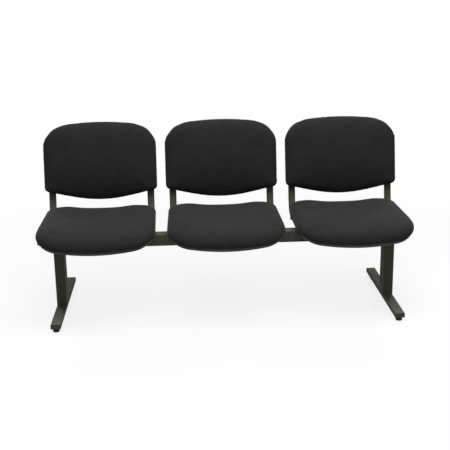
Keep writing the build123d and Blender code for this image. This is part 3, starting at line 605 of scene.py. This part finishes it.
covers = {
    "seat": (*buildSeatPad(seatPad), seatFlat, seatPad),
    "back": (*buildBackPad(backPad), backFlat, backPad),
}
for kind, (mesh, middle, flatten, look) in covers.items():
    lift = flatten(readPoints(mesh))[1]
    plump(f"{kind}Cover", mesh, np.clip((look["holdTop"] - lift) / look["holdFade"], 0, 1), look)
    for count, (seat, centre) in enumerate(benchPlan["seats"].items()):
        cover = mesh.copy()
        pucker(cover, middle, *flatten(readPoints(cover)), look, look["seed"] + count)
        writePoints(cover, readPoints(cover) + np.array([centre, 0.0, 0.0]))
        pad = placeObject(f"{seat}_{kind}_pad", cover, "bench", "seat_fabric")
        soften = pad.modifiers.new("soften", "SUBSURF")
        soften.levels = soften.render_levels = 1
        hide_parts(f"{seat}_{kind}_cushion")
print("cushions made: 6")


legPlan = {"x": 0.685, "footTop": 0.035, "columnDeep": 0.080}
studPlan = {"front": -0.2678, "rear": 0.2212}
studThread = {
    "low": 0.0062, "high": 0.0313, "radius": 0.00398, "depth": 0.0006, "pitch": 0.00125, "rows": 241, "sides": 24,
}


def buildStud(look, x, y):
    # radius less a triangle wave that climbs one pitch in each turn
    z = np.linspace(look["low"], look["high"], look["rows"])[:, None]
    turn = np.linspace(0, 2 * np.pi, look["sides"], endpoint=False)[None, :]
    wave = np.abs(2 * ((z / look["pitch"] - turn / (2 * np.pi)) % 1.0) - 1.0)
    radius = look["radius"] - look["depth"] * wave + 0 * turn
    return np.stack([x + radius * np.cos(turn), y + radius * np.sin(turn), z + 0 * turn], -1)


for end, endY in studPlan.items():
    for leg, side in hands.items():
        grid = buildStud(studThread, side * legPlan["x"], endY)
        mesh = gridMesh("threadedStud", grid[None])
        stud = placeObject(f"{end}_{leg}_threaded_stud", mesh, f"{end}_{leg}_leveller", "zinc_steel")
        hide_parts(f"{end}_{leg}_levelling_stud")

weldBead = {
    "half": 0.0155, "radius": 0.0026, "ripple": 0.10, "step": 0.0034, "wander": 0.06,
    "waves": (2, 3, 5), "tip": 0.02, "rows": 73, "sides": 18, "seed": 51,
}


def buildBead(look, x, y, seed):
    # a round bead in the corner, rippled along its length, and drawn in to a small tip by a high power at its ends
    along = np.linspace(-1, 1, look["rows"])[:, None]
    turn = np.linspace(0, 2 * np.pi, look["sides"], endpoint=False)[None, :]
    wander = look["wander"] * smoothNoise(along[:, 0] * np.pi, look["waves"], seed)[:, None]
    ripple = look["ripple"] * np.abs(np.cos(np.pi * along * look["half"] / look["step"]))
    drawnIn = np.sqrt(np.clip(1 + look["tip"] - along**8, look["tip"], 1))
    radius = look["radius"] * (1 + ripple + wander) * drawnIn
    around = y + radius * np.cos(turn), legPlan["footTop"] + radius * np.sin(turn)
    return np.stack([x + along * look["half"] + 0 * turn, *around], -1)


columnFaces = [
    (side * legPlan["x"], benchPlan["beamY"] + face * legPlan["columnDeep"] / 2)
    for side in hands.values() for face in (-1, 1)
]
beads = np.stack([buildBead(weldBead, *spot, weldBead["seed"] + count) for count, spot in enumerate(columnFaces)])
placeObject("column_weld_beads", gridMesh("weldBeads", beads), "bench", "frame_paint")

boltHead = {
    "shank": 0.0029, "tip": 0.001, "length": 0.0275, "head": 0.0060, "tall": 0.0032, "domeRadius": (0.45, 0.55),
    "domeHeight": (0.3, 0.7), "socket": 0.0020, "socketRim": 1.25, "socketLip": 0.97, "socketDeep": 0.0018,
    "socketDraft": 0.99, "sides": 36, "domeRows": 9,
}
boltPlan = {"across": 0.212, "rises": (0.165, 0.300), "face": -0.01068}
rearward = np.array([0.0, np.cos(backLean), -np.sin(backLean)])
sideward = np.array([1.0, 0, 0])


def buildBolt(look, centre):
    # a turned shape from the shank's tip to the domed head and its hexagon socket: radius and height by station, where
    # the dome's are a constant share and a share that goes round a quarter circle
    turn = np.linspace(0, 2 * np.pi, look["sides"], endpoint=False)
    circle = np.ones_like(turn)
    hexagon = look["socket"] / np.cos((turn % (np.pi / 3)) - np.pi / 6)
    rim = look["socket"] * look["socketRim"] * circle
    dome = np.linspace(0, np.pi / 2, look["domeRows"])[:-1]
    (inner, swing), (foot, climb) = look["domeRadius"], look["domeHeight"]
    rows = [
        (look["tip"] * circle, -look["length"]), (look["shank"] * circle, -look["length"]),
        (look["shank"] * circle, 0.0), (look["head"] * circle, 0.0),
    ]
    rows += [
        (look["head"] * (inner + swing * np.cos(angle)) * circle, look["tall"] * (foot + climb * np.sin(angle)))
        for angle in dome
    ]
    rows += [
        (rim, look["tall"]), (hexagon, look["tall"] * look["socketLip"]),
        (hexagon * look["socketDraft"], look["tall"] - look["socketDeep"]),
    ]
    radius = np.stack([row[0] for row in rows])
    height = np.array([row[1] for row in rows])[:, None]
    spokes = np.cos(turn)[:, None] * sideward + np.sin(turn)[:, None] * np.cross(rearward, sideward)
    return centre + radius[..., None] * spokes[None] + height[..., None] * rearward


bolts = np.stack([
    buildBolt(boltHead, onBack(np.array(seat + side * boltPlan["across"]), rise, boltPlan["face"]))
    for seat in benchPlan["seats"].values() for side in hands.values() for rise in boltPlan["rises"]
])
backBolts = placeObject("domed_back_bolts", gridMesh("domedBolts", bolts), "bench", "zinc_steel", smooth=False)
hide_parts("back_bolts")
print("hardware made: studs, weld beads, back bolts")


cameraView = {
    "place": (-0.17497, -3.60708, 1.38339), "yaw": 0.04921588, "pitch": 0.28100646, "roll": -0.01544916,
    "lens": 72.0, "sensor": 36.0,
}


def buildCamera(look):
    # looks along yaw and pitch, then rolls about that line
    yaw, pitch, roll = look["yaw"], look["pitch"], look["roll"]
    ahead = np.array([np.sin(yaw) * np.cos(pitch), np.cos(yaw) * np.cos(pitch), -np.sin(pitch)])
    right = np.array([np.cos(yaw), -np.sin(yaw), 0.0])
    up = np.cross(right, ahead)
    sideways = np.cos(roll) * right + np.sin(roll) * up
    upright = -np.sin(roll) * right + np.cos(roll) * up
    data = bpy.data.cameras.new("viewCamera")
    data.sensor_width = look["sensor"]
    data.lens = look["lens"]
    camera = addToScene("viewCamera", data)
    turned = Matrix(np.stack([sideways, upright, -ahead], 1).tolist()).to_4x4()
    camera.matrix_world = Matrix.Translation(look["place"]) @ turned
    scene.camera = camera


buildCamera(cameraView)

studio = {
    "sky": 0.155, "glow": 0.84, "seen": (0.17, 0.17, 0.17), "bounce": (0.32, 0.32, 0.31), "near": 1.0, "far": 2.3,
    "floorHalf": 14.0, "floorDrop": 0.0005,
}
white = (1, 1, 1, 1)


def seenRays(tree, place):
    # 1 for what the camera sees straight, mirrored or through glass
    path = makeNode(tree, "ShaderNodeLightPath", place)
    either = path.outputs["Is Camera Ray"]
    for count, label in enumerate(("Is Glossy Ray", "Is Transmission Ray"), 1):
        either = mathNode(tree, "MAXIMUM", (place[0] + 200 * count, place[1]), either, path.outputs[label])
    return either


def buildFloor(look):
    # a wide pale sheet: the camera sees it nearly white, and it still takes the bench's shadow
    size = look["floorHalf"]
    corners = np.array([[-size, -size, 0], [size, -size, 0], [size, size, 0], [-size, size, 0]])
    mesh = bpy.data.meshes.new("studioFloor")
    mesh.from_pydata((corners - [0, 0, look["floorDrop"]]).tolist(), [], [(0, 1, 2, 3)])
    floor = addToScene("studioFloor", mesh)
    material = bpy.data.materials.new("paleFloor")
    material.use_nodes = True
    tree = material.node_tree
    tree.nodes.remove(tree.nodes["Principled BSDF"])
    coord = makeNode(tree, "ShaderNodeTexCoord", (-900, 500))
    reach = makeNode(tree, "ShaderNodeVectorMath", (-700, 500), operation="LENGTH")
    tree.links.new(coord.outputs["Object"], reach.inputs[0])
    fade = mapRange(tree, (-500, 500), reach.outputs["Value"], (look["near"], look["far"]))
    dull = makeNode(tree, "ShaderNodeBsdfDiffuse", (-500, -250), Color=(*look["bounce"], 1.0))
    plain = makeNode(tree, "ShaderNodeBsdfDiffuse", (-500, 0), Color=(*look["seen"], 1.0))
    glow = makeNode(tree, "ShaderNodeEmission", (-500, -120), Color=white, Strength=look["glow"])
    blank = makeNode(tree, "ShaderNodeEmission", (-300, 250), Color=white, Strength=1.0)
    lit = makeNode(tree, "ShaderNodeAddShader", (-300, -60))
    seenSheet = makeNode(tree, "ShaderNodeMixShader", (-100, 100))
    mix = makeNode(tree, "ShaderNodeMixShader", (100, 0))
    for node, inputs in (
        (lit, (plain.outputs[0], glow.outputs[0])),
        (seenSheet, (fade, lit.outputs[0], blank.outputs[0])),
        (mix, (seenRays(tree, (-500, 700)), dull.outputs[0], seenSheet.outputs[0])),
        (tree.nodes["Material Output"], (mix.outputs[0],)),
    ):
        for index, socket in enumerate(inputs):
            tree.links.new(socket, node.inputs[index])
    mesh.materials.append(material)


def buildSky(look):
    # soft room light; the camera and reflections see plain white
    world = bpy.data.worlds.new("studioSky")
    scene.world = world
    world.use_nodes = True
    tree = world.node_tree
    back = tree.nodes["Background"]
    back.inputs["Color"].default_value = white
    strength = mapRange(tree, (-200, 0), seenRays(tree, (-800, 0)), (0.0, 1.0), (look["sky"], 1.0))
    tree.links.new(strength, back.inputs["Strength"])


lampPlan = {
    "overheadBox": {"place": (0.2, -0.75, 3.4), "target": (0.0, 0.0, 0.4), "size": (3.0, 2.0), "power": 89.0},
    "frontFill": {"place": (-0.4, -4.4, 2.0), "target": (0.0, 0.0, 0.4), "size": (1.8, 1.8), "power": 4.0},
}
rearWash = {"place": (1.7, 2.2, 2.2), "target": (0.685, -0.05, 0.04), "size": (0.6, 0.6), "power": 1.35, "fan": 0.7}


def addLamp(name, look, side=1):
    # side -1 puts the lamp and its target on the other hand; a narrow fan keeps the light to one leg
    place, target = (Vector((side * x, y, z)) for x, y, z in (look["place"], look["target"]))
    data = bpy.data.lights.new(name, "AREA")
    data.shape = "RECTANGLE"
    data.size, data.size_y = look["size"]
    data.energy = look["power"]
    data.spread = look.get("fan", np.pi)
    lamp = addToScene(name, data)
    lamp.location = place
    lamp.rotation_mode = "QUATERNION"
    lamp.rotation_quaternion = (target - place).to_track_quat("-Z", "Y")


buildFloor(studio)
buildSky(studio)
for name, look in lampPlan.items():
    addLamp(name, look)
for hand, side in hands.items():
    addLamp(f"{hand}RearWash", rearWash, side)
print("studio ready")
